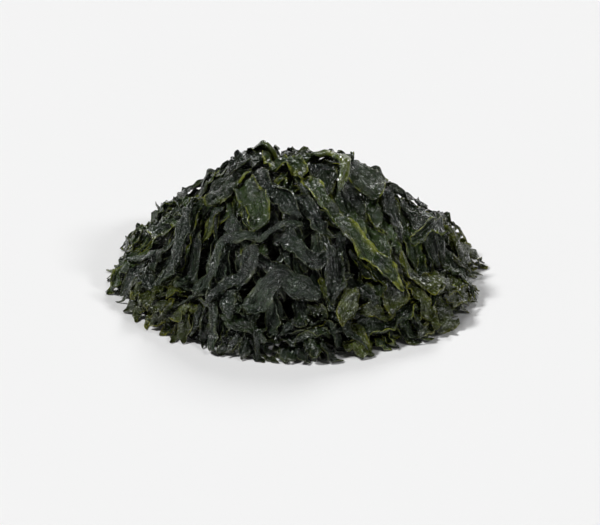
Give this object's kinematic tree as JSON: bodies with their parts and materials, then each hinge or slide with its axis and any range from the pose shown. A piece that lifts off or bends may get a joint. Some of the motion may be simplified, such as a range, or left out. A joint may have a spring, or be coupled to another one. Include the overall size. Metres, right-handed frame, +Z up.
{
  "type": "wakame heap",
  "caption": "Domed heap of fresh wet wakame: dark green blades with side lobes, ruffled edges and a yellow-green midrib, matted together on a flat base.",
  "frame": {"origin": "centre of the heap's box, on the surface it rests on", "axes": "+Z up; -Y towards the side that the picture shows; +X to the right in it"},
  "size_m": [0.2198, 0.208, 0.0914],
  "materials": {
    "wakame_dark": "wet satin, blue-black green",
    "wakame_green": "wet satin, deep green",
    "wakame_olive": "wet satin, olive, thin and slightly translucent",
    "wakame_grey": "wet satin, grey-green",
    "wakame_midrib": "wet satin, yellow-green",
    "wakame_inner": "wet, near black green"
  },
  "bodies": {
    "root": {"base_blade_1": "wakame_inner", "base_blade_2": "wakame_inner", "base_blade_3": "wakame_inner", "base_blade_4": "wakame_inner", "base_blade_5": "wakame_inner", "inner_blade_01": "wakame_inner", "inner_blade_02": "wakame_inner", "inner_blade_03": "wakame_inner", "inner_blade_04": "wakame_inner", "inner_blade_05": "wakame_inner", "inner_blade_06": "wakame_inner", "inner_blade_07": "wakame_inner", "inner_blade_08": "wakame_inner", "inner_blade_09": "wakame_inner", "inner_blade_10": "wakame_inner", "inner_blade_11": "wakame_inner", "inner_blade_12": "wakame_inner", "inner_blade_13": "wakame_inner", "inner_blade_14": "wakame_inner", "foot_blade_1": "wakame_green", "foot_blade_2": "wakame_olive", "foot_blade_3": "wakame_olive", "foot_blade_4": "wakame_olive", "foot_blade_5": "wakame_green", "foot_blade_6": "wakame_dark", "foot_blade_7": "wakame_green", "slope_blade_1": "wakame_green", "slope_blade_2": "wakame_dark", "slope_blade_3": "wakame_dark", "slope_blade_4": "wakame_green", "slope_blade_5": "wakame_dark", "slope_blade_6": "wakame_green", "slope_blade_7": "wakame_olive", "slope_blade_8": "wakame_olive", "slope_blade_9": "wakame_green", "shoulder_blade_1": "wakame_dark", "shoulder_blade_2": "wakame_dark", "shoulder_blade_3": "wakame_dark", "front_blade_left": "wakame_dark", "front_blade_middle": "wakame_dark", "front_blade_right": "wakame_green", "light_blade": "wakame_grey", "low_blade_left": "wakame_grey", "arched_blade": "wakame_grey", "front_tongue": "wakame_olive", "low_blade_right": "wakame_olive", "rim_blade_right": "wakame_green", "slanting_blade": "wakame_grey", "front_blade_high": "wakame_dark", "cross_strap": "wakame_grey", "gutter_blade": "wakame_grey", "peak_blade_right": "wakame_dark", "s_blade": "wakame_green", "upper_left_strap": "wakame_green", "rear_crest_blade": "wakame_dark", "long_edge_blade": "wakame_green", "crest_flap": "wakame_green", "peak_blade": "wakame_dark", "crown_blade_front": "wakame_green", "midrib": "wakame_midrib"}
  },
  "joints": []
}
